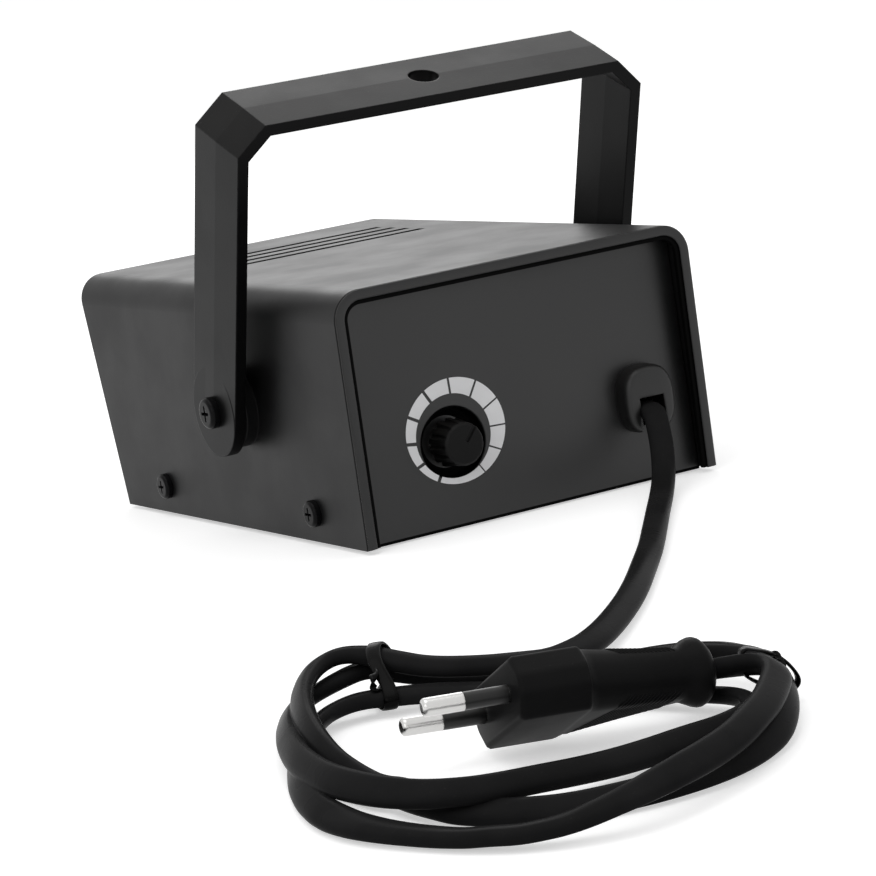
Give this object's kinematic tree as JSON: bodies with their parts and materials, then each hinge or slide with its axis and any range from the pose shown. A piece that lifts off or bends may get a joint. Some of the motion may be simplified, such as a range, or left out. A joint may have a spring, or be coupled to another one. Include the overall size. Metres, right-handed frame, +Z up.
{
  "type": "xenon stroboscope",
  "caption": "Small box-shaped strobe light on a tilting bracket, with a rear speed knob, a lamp behind a front window and a coiled mains lead with a flat plug.",
  "frame": {"origin": "on the surface that the feet stand on, under the middle of the housing cover's bounding box, without the cord", "axes": "+Z up, +Y towards the control panel at the rear, -Y where the light leaves, +X to the right seen from the lamp side looking rearwards"},
  "size_m": [0.2766, 0.4986, 0.1333],
  "materials": {
    "cover_plastic": "fine satin texture, black",
    "tray_plastic": "fine satin texture, black",
    "panel_plastic": "fine texture, black, white printed dial ring",
    "bezel_plastic": "satin, black",
    "bracket_plastic": "satin, black",
    "window_clear": "clear moulded window",
    "reflector_bright": "bright rolled sheet",
    "lamp_glass": "clear glass",
    "electrode_metal": "bare metal",
    "holder_rubber": "white silicone",
    "board_laminate": "tan laminate",
    "standoff_plastic": "natural nylon",
    "screw_black": "blackened steel",
    "screw_zinc": "zinc plated",
    "washer_nylon": "black nylon",
    "capacitor_sleeve": "shrink sleeve",
    "transformer_tape": "yellow tape",
    "resistor_cement": "white cement",
    "diode_black": "moulded",
    "film_red": "dipped film capacitor",
    "fuse_glass": "glass tube with metal clips",
    "thyristor_black": "moulded package",
    "terminal_green": "moulded",
    "pot_metal": "plated",
    "shaft_plastic": "moulded",
    "knob_plastic": "black, moulded flutes",
    "relief_plastic": "black nylon",
    "cord_pvc": "black flexible sheath, slight sheen",
    "plug_pvc": "black moulded plug",
    "pin_nickel": "nickel plated",
    "tie_black": "coated wire tie",
    "foot_rubber": "black"
  },
  "bodies": {
    "housing": {"base_feet": "foot_rubber", "base_tray": "tray_plastic", "board_screws": "screw_zinc", "board_standoffs": "standoff_plastic", "circuit_board": "board_laminate", "cord_coil": "cord_pvc", "cord_lead": "cord_pvc", "cord_tail": "cord_pvc", "cord_ties": "tie_black", "cover_screws": "screw_black", "film_capacitor": "film_red", "flash_tube": "lamp_glass", "front_bezel": "bezel_plastic", "front_window": "window_clear", "housing_cover": "cover_plastic", "mains_fuse": "fuse_glass", "pin_sleeves": "plug_pvc", "pivot_nuts": "screw_zinc", "pivot_screws": "screw_black", "pivot_washers": "washer_nylon", "plug_body": "plug_pvc", "plug_pins": "pin_nickel", "pot_nut": "pot_metal", "potentiometer": "pot_metal", "power_resistors": "resistor_cement", "rear_panel": "panel_plastic", "rectifier_diodes": "diode_black", "reflector": "reflector_bright", "storage_capacitors": "capacitor_sleeve", "strain_relief": "relief_plastic", "terminal_block": "terminal_green", "thyristor": "thyristor_black", "trigger_transformer": "transformer_tape", "tube_electrodes": "electrode_metal", "tube_holders": "holder_rubber"},
    "bracket": {"mounting_bracket": "bracket_plastic"},
    "knob": {"speed_knob": "knob_plastic", "pot_shaft": "shaft_plastic"}
  },
  "joints": [
    {"name": "bracket_tilt", "type": "hinge", "parent": "housing", "child": "bracket", "pos_m": [0, 0.01965, 0.0392], "axis": [1, 0, 0], "range_deg": [-63, 76]},
    {"name": "knob_turn", "type": "hinge", "parent": "housing", "child": "knob", "pos_m": [0.024, 0.0852, 0.0252], "axis": [0, 1, 0], "range_deg": [-110, 190]}
  ]
}
